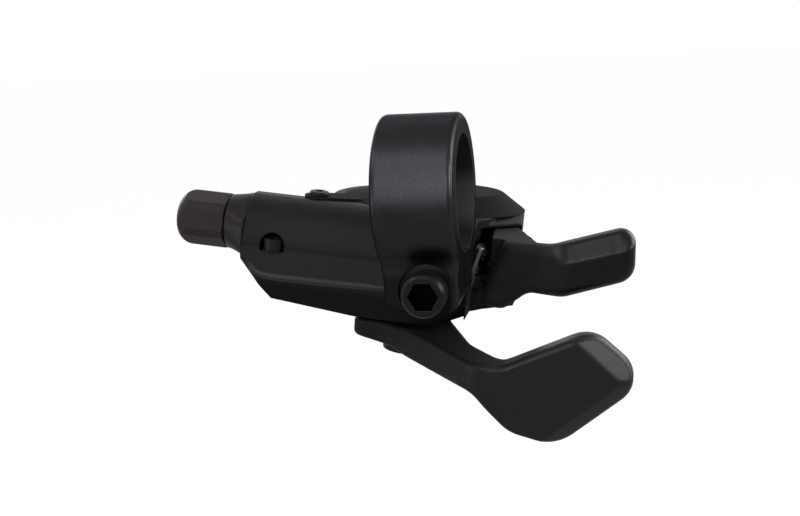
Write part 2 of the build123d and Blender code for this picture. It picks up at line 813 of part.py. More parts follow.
# Cable spool: a flanged drum over a saw-tooth ratchet, with a well for its spring
pitch_angle = 360 / teeth
tooth_points = []
for tooth in range(teeth):
    tooth_points.append(around(ratchet_r - tooth_depth, tooth * pitch_angle))
    tooth_points.append(around(ratchet_r, tooth * pitch_angle + 1))
with BuildPart() as cable_spool:
    with BuildSketch(level(spool_low)):
        Polygon(*tooth_points, align=None)
    extrude(amount=ratchet_h)
    with BuildSketch(level(ratchet_top)):
        Circle(flange_r)
    extrude(amount=flange_t)
    with BuildSketch(level(ratchet_top)):
        Circle(cable_r)
    extrude(amount=spool_top - ratchet_top)
    with BuildSketch(level(groove_top)):
        Circle(flange_r)
    extrude(amount=flange_t)
    with BuildSketch(level(spool_top)):
        Circle(spring_well_r)
    extrude(amount=groove_level - groove_h / 2 - spool_top, mode=Mode.SUBTRACT)
    with BuildSketch(level(ratchet_top)):
        Circle(spool_hub_r)
    extrude(amount=deck_under - side_play - ratchet_top)
    with BuildSketch(level(groove_level - groove_h / 2)):
        with Locations(around(cable_r - 0.4, 100)):
            Circle(nipple_d / 2 - 0.2)
    extrude(amount=groove_h + flange_t, mode=Mode.SUBTRACT)
    with BuildSketch(level(spool_low)):
        Circle(bush_r)
    extrude(amount=-spool_low, mode=Mode.SUBTRACT)
cable_spool.part.label = "cable_spool"
export_step(cable_spool.part, "parts/cable_spool.step")

with BuildPart() as spool_bush:
    with BuildSketch(level(spool_low)):
        Circle(bush_r)
        Circle(axle_d / 2 + axle_fit, mode=Mode.SUBTRACT)
    extrude(amount=deck_under - side_play - spool_low)
spool_bush.part.label = "spool_bush"
export_step(spool_bush.part, "parts/spool_bush.step")

# Spool spring: a clock spring wound in the spool's well
spring_in = spool_hub_r + 0.3
spring_out = spring_well_r - 0.3 - spring_strip
spring_rise = (spring_out - spring_in) / spring_turns
spring_low = groove_level - groove_h / 2 + 0.4
with BuildPart() as spool_spring:
    with BuildSketch(level(spring_low)):
        with BuildLine():
            steps = [turn / 8 for turn in range(8 * spring_turns + 1)]
            inner = Spline(*[around(spring_in + spring_rise * turn, 360 * turn) for turn in steps])
            outer = Spline(*[around(spring_in + spring_rise * turn + spring_strip, 360 * turn) for turn in steps])
            Line(inner @ 0, outer @ 0)
            Line(inner @ 1, outer @ 1)
        make_face()
    extrude(amount=deck_under - 0.1 - spring_low)
spool_spring.part.label = "spool_spring"
export_step(spool_spring.part, "parts/spool_spring.step")

# Base plate: closes the spool room, with an arc window for the drive pawl's pin
with BuildPart() as base_plate:
    with BuildSketch(level(plate_low)):
        Circle(pawl_room_r - plate_fit)
        SlotCenterPoint((release_u / 2, 0), (release_u, 0), 2 * (release_hub_r + 1.2))
        Circle(axle_d / 2 + axle_fit, mode=Mode.SUBTRACT)
        with BuildLine():
            window = CenterArc((0, 0), pawl_pin_r, drive_angle - 4, thumb_travel + 8)
        SlotArc(window, pawl_pin_d + 0.8, mode=Mode.SUBTRACT)
        with Locations(around(pawl_pin_r, hold_angle)):
            Circle(pawl_pin_d / 2, mode=Mode.SUBTRACT)
        with Locations((release_u, 0)):
            Circle(release_pin_d / 2, mode=Mode.SUBTRACT)
        with Locations(*[around(plate_screw_r, angle) for angle in plate_screw_angles]):
            Circle(plate_screw_d / 2 + 0.1, mode=Mode.SUBTRACT)
    extrude(amount=plate_t)
base_plate.part.label = "base_plate"
export_step(base_plate.part, "parts/base_plate.step")

with BuildPart() as plate_screws:
    with BuildSketch(level(plate_low)):
        with Locations(*[around(plate_screw_r - 0.9, angle) for angle in plate_screw_angles]):
            Circle(plate_screw_head / 2)
    extrude(amount=-1.5)
    with BuildSketch(level(plate_low)):
        with Locations(*[around(plate_screw_r, angle) for angle in plate_screw_angles]):
            Circle(plate_screw_d / 2)
    extrude(amount=plate_t + plate_screw_length - 0.3)
plate_screws.part.label = "plate_screws"
export_step(plate_screws.part, "parts/plate_screws.step")

# Thumb lever: where an arm's plan meets the lever's front view, rounded all along the meeting edges
with BuildPart() as thumb_lever:
    extrude(rounded(level(lever_top - paddle_drop), thumb_plan), amount=paddle_drop + paddle_rise)
    extrude(rounded(side(0, lever_top), thumb_front), amount=3 * far_r, both=True, mode=Mode.INTERSECT)
    for start, end in thumb_bevels:
        split(bisect_by=bevel(thumb_face, start, end, lever_top, thumb_bevel_turn), keep=Keep.BOTTOM)
    straight = thumb_lever.edges().filter_by(Axis.Y) + thumb_lever.edges().filter_by(pivot_axis)
    fillet(thumb_lever.edges() - straight, lever_edge)
    # Hub, with the carrier for the drive pawl's pin above the return spring
    with BuildSketch(level(lever_low)):
        Circle(hub_r)
    extrude(amount=hub_top - lever_low)
    with BuildSketch(level(carrier_low)):
        Circle(hub_r)
        with Locations(around(pawl_pin_r, drive_angle)):
            Circle(pawl_eye_r)
        make_hull()
    extrude(amount=carrier_t)
    with BuildSketch(level(lever_low)):
        Circle(bush_r)
    extrude(amount=hub_top - lever_low, mode=Mode.SUBTRACT)
    with BuildSketch(level(carrier_low)):
        with Locations(around(pawl_pin_r, drive_angle)):
            Circle(pawl_pin_d / 2)
    extrude(amount=carrier_t, mode=Mode.SUBTRACT)
thumb_lever.part.label = "thumb_lever"
export_step(thumb_lever.part, "parts/thumb_lever.step")

with BuildPart() as thumb_bush:
    with BuildSketch(level(lever_low)):
        Circle(bush_r)
        Circle(axle_d / 2 + axle_fit, mode=Mode.SUBTRACT)
    extrude(amount=hub_top - lever_low)
thumb_bush.part.label = "thumb_bush"
export_step(thumb_bush.part, "parts/thumb_bush.step")

# Thumb return spring: coiled round the lever's hub, between the arm and the pawl carrier
return_low = lever_top + 0.4 + return_wire / 2
return_high = carrier_low - return_wire / 2 - 0.3
return_pitch = (return_high - return_low) / return_turns
with BuildPart() as thumb_return_spring:
    with BuildLine() as coil:
        Helix(return_pitch, return_high - return_low, return_r, center=at(0, 0, return_low), direction=upright)
    with BuildSketch(Plane(origin=coil.line @ 0, z_dir=coil.line % 0)):
        Circle(return_wire / 2)
    sweep(path=coil.line)
thumb_return_spring.part.label = "thumb_return_spring"
export_step(thumb_return_spring.part, "parts/thumb_return_spring.step")

# Pawls: each a tapered finger on its pin, its tip just clear of the ratchet
tip_r = 0.45
tip_turn = pawl_reach / pawl_pin_r * 180 / pi
for pawl_name, angle in (("drive_pawl", drive_angle), ("holding_pawl", hold_angle)):
    with BuildPart() as pawl:
        with BuildSketch(level(pawl_low)):
            with Locations(around(pawl_pin_r, angle)):
                Circle(pawl_eye_r)
            with Locations(around(ratchet_r + pawl_gap + tip_r, angle + tip_turn)):
                Circle(tip_r)
            make_hull()
            with Locations(around(pawl_pin_r, angle)):
                Circle(pawl_pin_d / 2 + pawl_fit, mode=Mode.SUBTRACT)
        extrude(amount=pawl_top - pawl_low)
    pawl.part.label = pawl_name
    export_step(pawl.part, f"parts/{pawl_name}.step")

pin_tail = 3.2
drive_pin_low = carrier_low - pin_tail
with BuildPart() as drive_pawl_pin:
    with BuildSketch(level(drive_pin_low)):
        with Locations(around(pawl_pin_r, drive_angle)):
            Circle(pawl_pin_d / 2)
    extrude(amount=pawl_top - drive_pin_low)
drive_pawl_pin.part.label = "drive_pawl_pin"
export_step(drive_pawl_pin.part, "parts/drive_pawl_pin.step")

hold_pin_low = plate_low - pin_tail
with BuildPart() as holding_pawl_pin:
    with BuildSketch(level(hold_pin_low)):
        with Locations(around(pawl_pin_r, hold_angle)):
            Circle(pawl_pin_d / 2)
    extrude(amount=pawl_top - hold_pin_low)
holding_pawl_pin.part.label = "holding_pawl_pin"
export_step(holding_pawl_pin.part, "parts/holding_pawl_pin.step")

# Pawl springs: small coils round the pins' tails, below the carrier and below the base plate
small_r = pawl_pin_d / 2 + small_wire / 2 + 0.15
pawl_springs = (
    ("drive_pawl_spring", drive_angle, carrier_low),
    ("holding_pawl_spring", hold_angle, plate_low),
)
for spring_name, angle, ceiling in pawl_springs:
    pin_u, pin_v = around(pawl_pin_r, angle)
    with BuildPart() as pawl_spring:
        with BuildLine() as coil:
            Helix(
                small_wire * 1.5,
                small_wire * 1.5 * small_turns,
                small_r,
                center=at(pin_u, pin_v, ceiling - 0.5 - small_wire * 1.5 * small_turns),
                direction=upright,
            )
        with BuildSketch(Plane(origin=coil.line @ 0, z_dir=coil.line % 0)):
            Circle(small_wire / 2)
        sweep(path=coil.line)
    pawl_spring.part.label = spring_name
    export_step(pawl_spring.part, f"parts/{spring_name}.step")

# Release lever: an upright blade shaped like the thumb lever, on a web from its hub
release_low = plate_top + 0.12
release_high = deck_under - 0.4
with BuildPart() as release_lever:
    extrude(rounded(level(-housing_h), release_plan), amount=housing_h + paddle_rise)
    extrude(rounded(side(0), release_front), amount=3 * far_r, both=True, mode=Mode.INTERSECT)
    straight = release_lever.edges().filter_by(Axis.Y) + release_lever.edges().filter_by(pivot_axis)
    fillet(release_lever.edges() - straight, release_edge)
    with BuildSketch(level(release_low)):
        with Locations((release_u, 0)):
            Circle(release_hub_r)
    extrude(amount=release_high - release_low)
    with BuildSketch(level(release_low + web_rise)):
        with BuildLine():
            Polyline(
                (release_u - 1.0, 0),
                (release_u + release_hub_r, 0),
                (web_right, web_near + 2),
                (web_right, web_near),
                (release_u + 0.4, web_near),
                close=True,
            )
        make_face()
    extrude(amount=release_high - release_low - web_rise)
    with BuildSketch(level(release_low)):
        with Locations((release_u, 0)):
            Circle(release_pin_d / 2 + axle_fit)
    extrude(amount=release_high - release_low, mode=Mode.SUBTRACT)
release_lever.part.label = "release_lever"
export_step(release_lever.part, "parts/release_lever.step")

with BuildPart() as release_lever_pin:
    with BuildSketch(level(plate_low)):
        with Locations((release_u, 0)):
            Circle(release_pin_d / 2)
    extrude(amount=-plate_low)
release_lever_pin.part.label = "release_lever_pin"
export_step(release_lever_pin.part, "parts/release_lever_pin.step")

# Release return spring: a coil round the hub, with its long leg out in the gap beside the clamp
leg_r = release_hub_r + leg_wire / 2 + 0.35
leg_low = release_low + leg_wire / 2 + 0.3
leg_pitch = leg_wire * 1.25
with BuildPart() as release_return_spring:
    with BuildLine() as coil:
        Helix(leg_pitch, 1.5 * leg_pitch, leg_r, center=at(release_u, 0, leg_low), direction=upright)
    with BuildSketch(Plane(origin=coil.line @ 0, z_dir=coil.line % 0)):
        Circle(leg_wire / 2)
    sweep(path=coil.line)
    with BuildLine() as leg:
        Polyline(
            coil.line @ 1,
            at(leg_u, leg_bend_v, leg_bend),
            at(leg_u, leg_v, leg_top),
            at(leg_foot_u, leg_v, leg_foot),
        )
    with BuildSketch(Plane(origin=leg.line @ 0, z_dir=leg.line % 0)):
        Circle(leg_wire / 2)
    sweep(path=leg.line, transition=Transition.ROUND)
    foot_turn = 90 - atan2(leg_top - leg_foot, leg_u - leg_foot_u) * 180 / pi
    with BuildSketch(side(leg_v - foot_t / 2)):
        with Locations((leg_foot_u, leg_foot)):
            Rectangle(foot_w, foot_h, rotation=-foot_turn, align=(Align.CENTER, Align.MAX))
    extrude(amount=-foot_t)
release_return_spring.part.label = "release_return_spring"
export_step(release_return_spring.part, "parts/release_return_spring.step")
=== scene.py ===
# %% [markdown]
# A trigger gear shifter for a flat handlebar. The CAD model gives every piece its size and place, in
# metres, with the origin in the middle of the handlebar clamp, +X along the bar towards the grip,
# +Y away from the rider and +Z up. This lesson gives those pieces their finishes, softens the pads
# of the two levers, adds a lip to the housing, and lights it all on a white ground.

# %% Load the frame
import math

import bpy
from mathutils import Matrix, Vector


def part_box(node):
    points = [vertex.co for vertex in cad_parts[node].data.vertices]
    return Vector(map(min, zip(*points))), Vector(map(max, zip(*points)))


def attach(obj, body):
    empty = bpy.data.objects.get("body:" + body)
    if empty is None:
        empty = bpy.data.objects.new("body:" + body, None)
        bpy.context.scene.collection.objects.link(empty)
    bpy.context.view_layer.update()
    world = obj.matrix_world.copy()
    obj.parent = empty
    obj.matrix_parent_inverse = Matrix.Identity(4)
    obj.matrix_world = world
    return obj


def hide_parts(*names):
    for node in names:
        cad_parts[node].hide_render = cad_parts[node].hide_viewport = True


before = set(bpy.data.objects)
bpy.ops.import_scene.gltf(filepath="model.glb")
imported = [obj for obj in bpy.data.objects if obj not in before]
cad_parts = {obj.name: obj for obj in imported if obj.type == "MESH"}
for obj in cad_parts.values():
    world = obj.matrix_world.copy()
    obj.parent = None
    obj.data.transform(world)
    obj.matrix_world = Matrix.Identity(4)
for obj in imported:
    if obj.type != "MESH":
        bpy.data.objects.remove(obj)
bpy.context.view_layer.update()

# %% [markdown]
# The camera stands a quarter of a metre off, a little to the right of the clamp and above it, and
# leans slightly, as a hand-held one does. A camera could be aimed with a constraint, but three
# angles and the pixel where the clamp's centre falls say the same with nothing left to evaluate.

# %% Camera
IMAGE_W, IMAGE_H = 800, 516
AZIMUTH, ELEVATION, ROLL = (math.radians(a) for a in (12.2, 12.0, -3.5))
FOCAL_PX = 1272.0
DISTANCE = 0.240
CLAMP_PX = (425.1, 192.9)
SENSOR_MM = 36.0
CLIP_NEAR, CLIP_FAR = 0.01, 10.0

back = Vector(
    (
        math.sin(AZIMUTH) * math.cos(ELEVATION),
        -math.cos(AZIMUTH) * math.cos(ELEVATION),
        math.sin(ELEVATION),
    )
)
level_right = Vector((math.cos(AZIMUTH), math.sin(AZIMUTH), 0))
level_up = back.cross(level_right)
right = level_right * math.cos(ROLL) + level_up * math.sin(ROLL)
up = level_up * math.cos(ROLL) - level_right * math.sin(ROLL)
metres_per_px = DISTANCE / FOCAL_PX
aside = (CLAMP_PX[0] - IMAGE_W / 2) * metres_per_px
above = (IMAGE_H / 2 - CLAMP_PX[1]) * metres_per_px

lens = bpy.data.cameras.new("camera")
lens.sensor_width = SENSOR_MM
lens.lens = SENSOR_MM * FOCAL_PX / IMAGE_W
lens.clip_start, lens.clip_end = CLIP_NEAR, CLIP_FAR
camera = bpy.data.objects.new("camera", lens)
camera.matrix_world = Matrix(
    (
        (right.x, up.x, back.x, 0),
        (right.y, up.y, back.y, 0),
        (right.z, up.z, back.z, 0),
        (0, 0, 0, 1),
    )
)
camera.location = DISTANCE * back - aside * right - above * up
bpy.context.scene.collection.objects.link(camera)
bpy.context.scene.camera = camera
bpy.context.scene.view_settings.view_transform = "Standard"
print("camera at", [round(c, 4) for c in camera.location], "lens", round(lens.lens, 2), "mm")

# %% [markdown]
# A finish is a tree of shader nodes. The nodes could be placed one by one, as in the editor, but
# their sums are easier to read as Python. `Wire` wraps one socket: adding or multiplying two wires
# adds a Math node to their tree. `Tree` holds the nodes, and its `node` method makes every other
# kind, with its settings first and then its inputs. A `Finish` is the tree of one material.

# %% A small language for finishes
EDGE_SAMPLES = 6
RELIEF = 0.10


class Wire:
    """An output socket whose sums, products and powers become Math nodes."""

    def __init__(self, tree, socket):
        self.tree = tree
        self.socket = socket

    def _math(self, operation, first, second):
        return self.tree.node("ShaderNodeMath", {"operation": operation}, {0: first, 1: second})

    def __add__(self, other):
        return self._math("ADD", self, other)

    def __radd__(self, other):
        return self._math("ADD", other, self)

    def __sub__(self, other):
        return self._math("SUBTRACT", self, other)

    def __rsub__(self, other):
        return self._math("SUBTRACT", other, self)

    def __mul__(self, other):
        return self._math("MULTIPLY", self, other)

    def __rmul__(self, other):
        return self._math("MULTIPLY", other, self)

    def __pow__(self, other):
        return self._math("POWER", self, other)

    def __rpow__(self, other):
        return self._math("POWER", other, self)


class Tree:
    """A node tree, with the one method that adds nodes to it."""

    def __init__(self, node_tree):
        self.nodes = node_tree.nodes
        self.links = node_tree.links

    def join(self, value, socket):
        """Links a wire to an input, or sets a constant on it."""
        if isinstance(value, Wire):
            self.links.new(value.socket, socket)
        else:
            socket.default_value = value

    def node(self, kind, settings=None, inputs=None, output=0):
        """A new node, as a wire from one of its outputs or, for a tuple, from several."""
        made = self.nodes.new(kind)
        for key, value in (settings or {}).items():
            setattr(made, key, value)
        for key, value in (inputs or {}).items():
            self.join(value, made.inputs[key])
        if isinstance(output, tuple):
            return [Wire(self, made.outputs[key]) for key in output]
        return Wire(self, made.outputs[output])

    def ramp(self, value, low, high):
        """0 at low, 1 at high, and straight between."""
        return self.node(
            "ShaderNodeMapRange",
            {"clamp": True},
            {"Value": value, "From Min": low, "From Max": high, "To Min": 0.0, "To Max": 1.0},
        )

    def rays(self):
        """Whether a ray is the camera's, a reflection's or one through glass."""
        kinds = ("Is Camera Ray", "Is Glossy Ray", "Is Transmission Ray")
        return self.node("ShaderNodeLightPath", output=kinds)


class Finish(Tree):
    """One material and its shader."""

    def __init__(self, name):
        self.material = bpy.data.materials.new(name)
        self.material.use_nodes = True
        super().__init__(self.material.node_tree)
        self.shader = self.nodes["Principled BSDF"]

    def set(self, **values):
        for key, value in values.items():
            self.join(value, self.shader.inputs[key.replace("_", " ")])

    def place(self):
        return self.node("ShaderNodeTexCoord", output="Object")

    def axes(self):
        return self.node("ShaderNodeSeparateXYZ", {}, {0: self.place()}, output=("X", "Y", "Z"))

    def noise(self, scale, detail=2.0, rough=0.5):
        return self.node(
            "ShaderNodeTexNoise",
            {"noise_dimensions": "3D"},
            {"Vector": self.place(), "Scale": scale, "Detail": detail, "Roughness": rough},
        )

    def tint(self, share, dark, light):
        """A colour between two, each a wire or red, green and blue."""
        ends = [end if isinstance(end, Wire) else (*end, 1.0) for end in (dark, light)]
        return self.node(
            "ShaderNodeMix", {"data_type": "RGBA"}, {0: share, 6: ends[0], 7: ends[1]}, output=2
        )

    def bump(self, height, depth, edge):
        """Fine relief, over edges that are softened by a radius."""
        soft = self.node("ShaderNodeBevel", {"samples": EDGE_SAMPLES}, {"Radius": edge})
        return self.node(
            "ShaderNodeBump",
            {},
            {"Height": height, "Strength": RELIEF, "Distance": depth, "Normal": soft},
        )


def dress(piece, finish):
    """Makes a finish the only one on a piece."""
    piece.data.materials.clear()
    piece.data.materials.append(finish.material)


def give(finish, *nodes):
    """Puts a finish on CAD nodes."""
    for name in nodes:
        dress(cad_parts[name], finish)
    print(finish.material.name, "on", ", ".join(nodes))


# %% [markdown]
# The clamp band is a metal ring under satin black paint with a fine metallic fleck. The flecks could
# be drawn, but the cells of a Voronoi pattern give any number of them, each with a level of its own,
# and only the brightest few spark. Slow noise clouds the gloss, and a finer one is the paint's peel.
# The paint is made as a dark metal. A dark plastic would turn pale where it is seen edge-on against
# white, and a metal has a tint that holds such edges down.
#
# Masks come from the object's own coordinates. The bore is found by its radius: there bare metal
# grips the bar, and its colour is painted shade at the top and bottom and painted light in a band
# just below the middle. The lug round the bolt is darker than the ring, which is painted shade, and
# duller.

# %% Clamp paint
FLECK_SCALE, FLECK_FLOOR, FLECK_SHARE, FLECK_SHINE = 8200.0, 0.86, 0.45, 0.05
CLOUD_SCALE, CLOUD_SHARE, CLOUD_HAZE = 140.0, 0.3, 0.10
PEEL_SCALE, PEEL_DEPTH = 3800.0, 0.0002
PAINT_DARK, PAINT_LIGHT = (0.0170, 0.0177, 0.0190), (0.038, 0.041, 0.046)
PAINT_ROUGH, PAINT_GLOSS, PAINT_EDGE = 0.30, 0.1, (0.46, 0.46, 0.46, 1.0)
RING_EDGE = 0.0002
BORE_R, BORE_BLEND, BORE_HAZE = 0.0111, 0.0002, 0.2
BORE_PAINTED_SHADE, BORE_PAINTED_LIGHT = (0.0090, 0.0090, 0.0098), (0.037, 0.037, 0.040)
LIT_BAND_BELOW, LIT_BAND_ABOVE = (-0.0085, -0.0055), (-0.0005, 0.0030)
LUG_PAINTED_SHADE, LUG_HAZE = (0.0078, 0.0080, 0.0086), 0.22
LUG_Z, LUG_X = (-0.0142, -0.0108), (0.0052, 0.0066)

paint = Finish("clamp_paint")
fleck = paint.node(
    "ShaderNodeTexVoronoi",
    {"feature": "F1"},
    {"Vector": paint.place(), "Scale": FLECK_SCALE},
    output="Color",
)
fleck_level = paint.node("ShaderNodeSeparateColor", {}, {"Color": fleck})
spark = paint.ramp(fleck_level, FLECK_FLOOR, 1.0)
cloud = paint.noise(CLOUD_SCALE, detail=3.0)
peel = paint.noise(PEEL_SCALE, detail=1.0)
along, deep, high = paint.axes()
radius = (deep * deep + high * high) ** 0.5
bare = 1 - paint.ramp(radius, BORE_R, BORE_R + BORE_BLEND)
# Painted light and shade: the bore's bare metal is lighter in a band just below the middle, darker
# above and below it.
bore_lit_band = paint.ramp(high, *LIT_BAND_BELOW) * (1 - paint.ramp(high, *LIT_BAND_ABOVE))
bore = paint.tint(bore_lit_band, BORE_PAINTED_SHADE, BORE_PAINTED_LIGHT)
lug = (1 - paint.ramp(high, *LUG_Z)) * (1 - paint.ramp(along, *LUG_X))
lacquer = paint.tint(spark * FLECK_SHARE + cloud * CLOUD_SHARE, PAINT_DARK, PAINT_LIGHT)
# Painted shade: the paint's colour darkens over the lug round the bolt.
lacquer = paint.tint(lug, lacquer, LUG_PAINTED_SHADE)
haze = cloud * CLOUD_HAZE - spark * FLECK_SHINE
paint.set(
    Base_Color=paint.tint(bare, lacquer, bore),
    Metallic=1 - bare,
    Roughness=PAINT_ROUGH + haze + bare * BORE_HAZE + lug * LUG_HAZE,
    Normal=paint.bump(peel, PEEL_DEPTH, RING_EDGE),
    Specular_IOR_Level=PAINT_GLOSS,
    Specular_Tint=PAINT_EDGE,
)
give(paint, "clamp_band")

# %% [markdown]
# The housing, its cover, the levers and the cable end are moulded in black nylon, and their skin is
# the fine grain of a spark-eroded mould. A picture of grain could be wrapped round them, but noise in
# the object's own coordinates needs no unwrapping and shows no seam. A second, slower noise lets the
# colour and the gloss wander, as they do on a piece that has been handled.

# %% A moulded plastic
WANDER_SCALE, WANDER_SHARE, WANDER_HAZE = 90.0, 0.7, 0.10
SKIN_SHARE, SKIN_SHINE, SKIN_DEPTH = 0.3, 0.06, 0.0002


def moulding(name, dark, light, grain, gloss, edge):
    """A grained finish. It keeps its noises and its colour for what is shaded further."""
    plastic = Finish(name)
    plastic.skin = plastic.noise(grain, rough=0.6)
    plastic.drift = plastic.noise(WANDER_SCALE, detail=3.0)
    wander = plastic.drift * WANDER_SHARE + plastic.skin * SKIN_SHARE
    plastic.colour = plastic.tint(wander, dark, light)
    plastic.set(
        Base_Color=plastic.colour,
        Normal=plastic.bump(plastic.skin, SKIN_DEPTH, edge),
        Specular_IOR_Level=gloss,
    )
    return plastic


def grained(plastic, rough):
    """A roughness that wanders with the grain."""
    return rough + plastic.drift * WANDER_HAZE - plastic.skin * SKIN_SHINE


print("a moulding takes a name, two colours, a grain, a gloss and an edge radius")

# %% [markdown]
# The housing's underside, below the ridge, and the wall beside the release lever are darker and
# duller
# than the near panel: their colour is painted shade, and their roughness is raised. Those faces could
# have materials of their own, but a CAD node keeps its mesh, so two masks find them: one lies below a
# sloping line along the ridge, and one past the end of the panel. The cover on top is the same nylon,
# with a duller skin.

# %% Housing and cover
NYLON_ROUGH, NYLON_PAINTED_SHADE = 0.42, (0.0012, 0.0012, 0.0014)
END_WALL_X, END_WALL_Z, END_WALL_HAZE = (0.0040, 0.0045), (-0.021, -0.018), 0.45
RIDGE_X, RIDGE_FALL, RIDGE_Z = -0.0358, 0.139, (-0.0200, -0.0188)
UNDER_SHADE_SHARE, UNDER_HAZE = 0.75, 0.12

nylon = moulding(
    "housing_plastic",
    dark=(0.0052, 0.0054, 0.0064),
    light=(0.0080, 0.0083, 0.0096),
    grain=2600.0,
    gloss=0.06,
    edge=0.0005,
)
reach, _, high = nylon.axes()
end_wall = nylon.ramp(reach, *END_WALL_X) * (1 - nylon.ramp(high, *END_WALL_Z))
under = 1 - nylon.ramp(high + (reach - RIDGE_X) * RIDGE_FALL, *RIDGE_Z)
# Painted shade: the colour darkens below the ridge and on the end wall.
painted_shade = 1 - (1 - end_wall) * (1 - under * UNDER_SHADE_SHARE)
nylon.set(
    Base_Color=nylon.tint(painted_shade, nylon.colour, NYLON_PAINTED_SHADE),
    Roughness=NYLON_ROUGH + end_wall * END_WALL_HAZE + under * (1 - end_wall) * UNDER_HAZE,
)
give(nylon, "housing")

dome = moulding(
    "cover_plastic",
    dark=(0.0066, 0.0068, 0.0078),
    light=(0.0092, 0.0095, 0.0106),
    grain=2600.0,
    gloss=0.02,
    edge=0.0003,
)
dome.set(Roughness=grained(dome, 0.62))
give(dome, "top_cover")

# %% [markdown]
# The levers are moulded in a slightly warmer black. A thumb and a finger polish their pads and leave
# the arms dull, so the gloss fades from the pad to the pivot. Wear could be painted by hand, but a
# ramp along X puts it where the pads are and needs no brush. The same ramp paints shade on the thumb
# lever's arm, whose colour darkens towards the pivot.

# %% Levers
GRIP_ROUGH, ARM_X, ARM_HAZE = 0.32, (-0.004, 0.014), 0.24
ARM_PAINTED_SHADE, ARM_SHADE_SHARE = (0.0010, 0.0009, 0.0009), 0.7
TRIGGER_ROUGH, ROOT_X, ROOT_HAZE = 0.30, (0.019, 0.026), 0.46

grip = moulding(
    "lever_plastic",
    dark=(0.0084, 0.0070, 0.0070),
    light=(0.0112, 0.0095, 0.0095),
    grain=3000.0,
    gloss=0.10,
    edge=0.0003,
)
reach, _, _ = grip.axes()
arm = 1 - grip.ramp(reach, *ARM_X)
# Painted shade: the arm's colour darkens towards the pivot.
grip.set(
    Base_Color=grip.tint(arm * ARM_SHADE_SHARE, grip.colour, ARM_PAINTED_SHADE),
    Roughness=GRIP_ROUGH + arm * ARM_HAZE,
)
give(grip, "thumb_lever")

# Painted shade: the release lever's nylon is made darker than the thumb lever's.
trigger = moulding(
    "release_plastic",
    dark=(0.0024, 0.0020, 0.0020),
    light=(0.0040, 0.0034, 0.0034),
    grain=3000.0,
    gloss=0.14,
    edge=0.0004,
)
reach, _, _ = trigger.axes()
root = 1 - trigger.ramp(reach, *ROOT_X)
trigger.set(Roughness=TRIGGER_ROUGH + root * ROOT_HAZE)
give(trigger, "release_lever")

# %% [markdown]
# The cable comes in through a flared neck and a knob that adjusts its pull. Both are moulded too,
# and turned knobs wear to a browner grey than the housing. The spool inside is a plain nylon, seen
# only when the shifter is opened.

# %% Cable end and spool
knob = moulding(
    "knob_plastic",
    dark=(0.0160, 0.0134, 0.0124),
    light=(0.0205, 0.0174, 0.0162),
    grain=3000.0,
    gloss=0.06,
    edge=0.0004,
)
knob.set(Roughness=grained(knob, 0.42))
give(knob, "barrel_adjuster")

flare = moulding(
    "neck_plastic",
    dark=(0.0118, 0.0099, 0.0094),
    light=(0.0150, 0.0128, 0.0121),
    grain=3000.0,
    gloss=0.07,
    edge=0.0004,
)
flare.set(Roughness=grained(flare, 0.38))
give(flare, "cable_neck")

nested = moulding(
    "spool_plastic",
    dark=(0.05, 0.05, 0.054),
    light=(0.08, 0.08, 0.085),
    grain=1800.0,
    gloss=0.3,
    edge=0.0002,
)
nested.set(Roughness=grained(nested, 0.45))
give(nested, "cable_spool")

# %% [markdown]
# Screws, pins, springs and bushes are drawn, turned or pressed, which leaves scratches finer than
# the eye can part. They could be modelled as streaks, but on pieces of a few millimetres a fine noise
# breaks up the gloss as well. The black ones are steel under a thick black oxide, which no longer
# shines like metal, so they are made as a dark, slightly glossy coat.

# %% Metals
TARNISH_SCALE, TARNISH_SHARE = 160.0, 0.6
SCRATCH_SHARE, SCRATCH_HAZE, SCRATCH_DEPTH = 0.4, 0.14, 0.0001
METAL_EDGE = 0.0002


def metal(name, dark, light, rough, grain, metallic=1.0, gloss=0.5):
    """A finely scratched finish. It keeps its colour for what is shaded further."""
    steel = Finish(name)
    scratch = steel.noise(grain, detail=3.0, rough=0.7)
    tarnish = steel.noise(TARNISH_SCALE) * TARNISH_SHARE
    steel.colour = steel.tint(tarnish + scratch * SCRATCH_SHARE, dark, light)
    steel.set(
        Base_Color=steel.colour,
        Roughness=rough + scratch * SCRATCH_HAZE,
        Metallic=metallic,
        Normal=steel.bump(scratch, SCRATCH_DEPTH, METAL_EDGE),
        Specular_IOR_Level=gloss,
    )
    return steel


black = metal(
    "black_steel",
    dark=(0.0045, 0.0045, 0.0045),
    light=(0.0085, 0.0085, 0.0087),
    rough=0.30,
    grain=2400.0,
    metallic=0.0,
    gloss=0.08,
)
give(
    black,
    "cover_screws",
    "neck_screw",
    "base_plate",
    "plate_screws",
    "axle_washer",
    "click_washer",
    "main_axle",
)
zinc = metal("plain_steel", (0.36, 0.36, 0.37), (0.52, 0.52, 0.53), rough=0.28, grain=2200.0)
give(zinc, "clamp_nut", "axle_nut", "drive_pawl_pin", "holding_pawl_pin", "release_lever_pin")
hard = metal("pawl_steel", (0.26, 0.26, 0.28), (0.40, 0.40, 0.42), rough=0.24, grain=2600.0)
give(hard, "drive_pawl", "holding_pawl")
wire = metal("spring_steel", (0.070, 0.070, 0.074), (0.110, 0.110, 0.115), rough=0.30, grain=3000.0)
give(
    wire,
    "spool_spring",
    "thumb_return_spring",
    "drive_pawl_spring",
    "holding_pawl_spring",
    "release_return_spring",
)
sleeve = metal("sleeve_alloy", (0.030, 0.030, 0.032), (0.050, 0.050, 0.053), rough=0.32, grain=2400.0)
give(sleeve, "adjuster_sleeve")
brass = metal("bush_brass", (0.50, 0.36, 0.15), (0.66, 0.49, 0.22), rough=0.26, grain=2400.0)
give(brass, "spool_bush", "thumb_bush")

